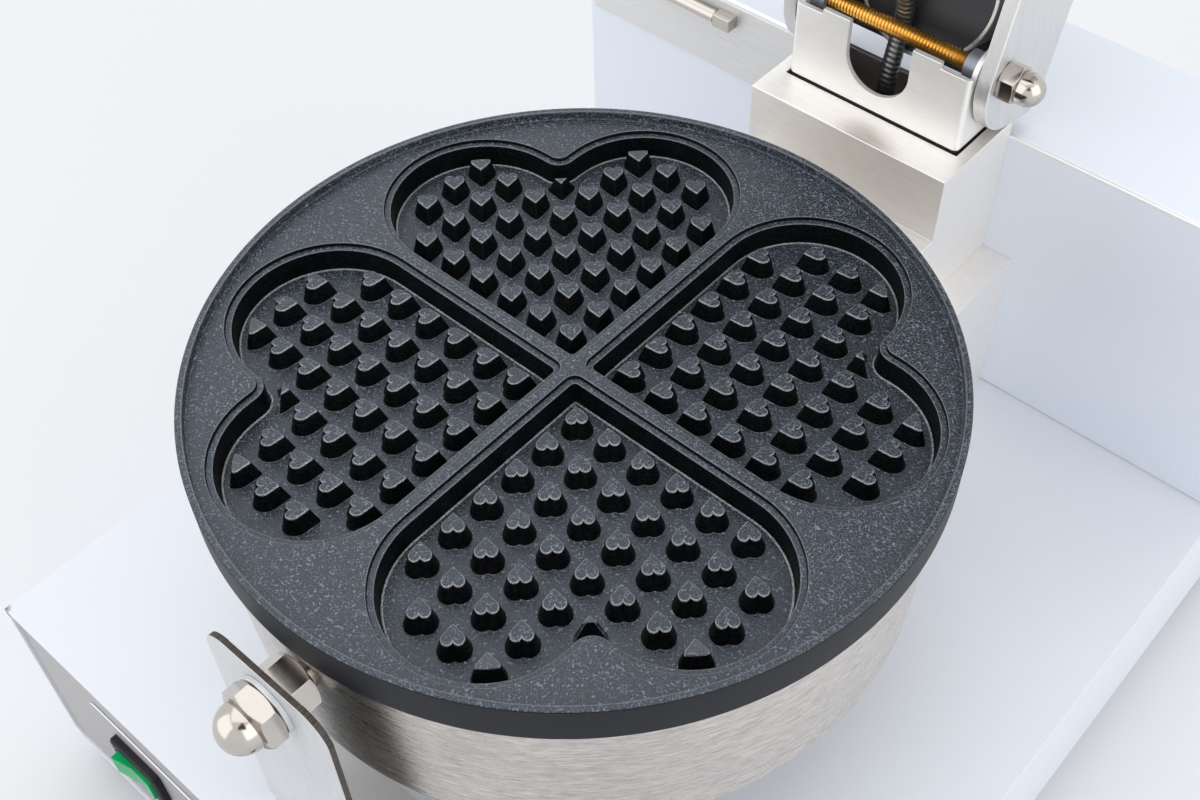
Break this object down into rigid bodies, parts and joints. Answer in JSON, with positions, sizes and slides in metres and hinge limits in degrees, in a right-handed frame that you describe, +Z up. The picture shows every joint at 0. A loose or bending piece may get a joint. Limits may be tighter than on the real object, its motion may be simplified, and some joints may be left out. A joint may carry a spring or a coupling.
{
  "type": "heart waffle maker",
  "caption": "Countertop waffle maker with a hinged lid, round non-stick plates with heart recesses and studs, steel cabinet, tower, controls and handle.",
  "frame": {"origin": "on the table, straight below the middle of the lower cooking plate", "axes": "+X to the right seen from the front, +Y to the back, +Z up"},
  "size_m": [0.306, 0.4458, 0.6308],
  "materials": {
    "brushed_sheet": "brushed stainless sheet",
    "grey_panel": "satin grey sheet",
    "dark_sheet": "dark oxidised sheet",
    "black_plate": "satin black",
    "coated_casting": "speckled non-stick coat",
    "bright_hardware": "nickel plate",
    "yellow_rod": "yellow passivated thread",
    "heater": "heat stained steel",
    "wool": "pressed mineral wool",
    "black_plastic": "matt black",
    "green_rocker": "clear green",
    "white_plastic": "matt white",
    "black_rubber": "matt black",
    "dark_hose": "dark wound steel hose"
  },
  "bodies": {
    "base": {"base_body": "brushed_sheet", "rear_housing": "brushed_sheet", "bottom_plate": "brushed_sheet", "base_feet": "black_rubber", "front_panel": "grey_panel", "control_plate": "black_plate", "switch_body": "black_plastic", "thermostat": "heater", "timer": "heater", "cable_gland": "black_plastic", "terminal_block": "white_plastic", "pedestal": "brushed_sheet", "tower": "brushed_sheet", "tower_bolts": "bright_hardware", "tower_grommet": "black_rubber", "hinge_bracket": "brushed_sheet", "pin_bushes": "bright_hardware", "front_bracket": "brushed_sheet", "bracket_screws": "bright_hardware", "front_stud": "bright_hardware", "inner_nut": "bright_hardware", "front_washer": "bright_hardware", "acorn_nut": "bright_hardware", "lower_drum": "brushed_sheet", "lower_plate": "coated_casting", "lower_element": "heater", "lower_clamp": "heater", "lower_insulation": "wool", "lower_tie_bolts": "bright_hardware", "conduit": "dark_hose", "rear_strip": "brushed_sheet", "strip_bolt": "bright_hardware"},
    "lid": {"hinge_pin": "yellow_rod", "hinge_washers": "bright_hardware", "hinge_nuts": "bright_hardware", "left_arm": "brushed_sheet", "right_arm": "brushed_sheet", "arm_bridge": "dark_sheet", "buffer_cup": "brushed_sheet", "lid_buffer": "black_rubber", "head_plate": "brushed_sheet", "head_bolts": "bright_hardware", "upper_drum": "brushed_sheet", "upper_plate": "coated_casting", "upper_element": "heater", "upper_clamp": "heater", "upper_insulation": "wool", "upper_tie_bolts": "bright_hardware", "handle_bracket": "brushed_sheet", "handle_grip": "black_plastic", "handle_screws": "bright_hardware", "hose_gland": "bright_hardware"},
    "thermostat_dial": {"thermostat_knob": "black_plastic", "thermostat_shaft": "bright_hardware"},
    "timer_dial": {"timer_knob": "black_plastic", "timer_shaft": "bright_hardware"},
    "switch_rocker": {"rocker": "green_rocker"}
  },
  "joints": [
    {"name": "lid_hinge", "type": "hinge", "parent": "base", "child": "lid", "pos_m": [0, 0.1618, 0.255], "axis": [1, 0, 0], "range_deg": [0, 104.3], "deforming": ["conduit"]},
    {"name": "rocker_hinge", "type": "hinge", "parent": "base", "child": "switch_rocker", "pos_m": [-0.088, -0.1378, 0.066], "axis": [0, 0, 1], "range_deg": [-12, 0]},
    {"name": "thermostat_turn", "type": "hinge", "parent": "base", "child": "thermostat_dial", "pos_m": [-0.045, -0.15, 0.058], "axis": [0, 1, 0], "range_deg": [0, 270]},
    {"name": "timer_turn", "type": "hinge", "parent": "base", "child": "timer_dial", "pos_m": [0.045, -0.15, 0.058], "axis": [0, 1, 0], "range_deg": [0, 300]}
  ]
}
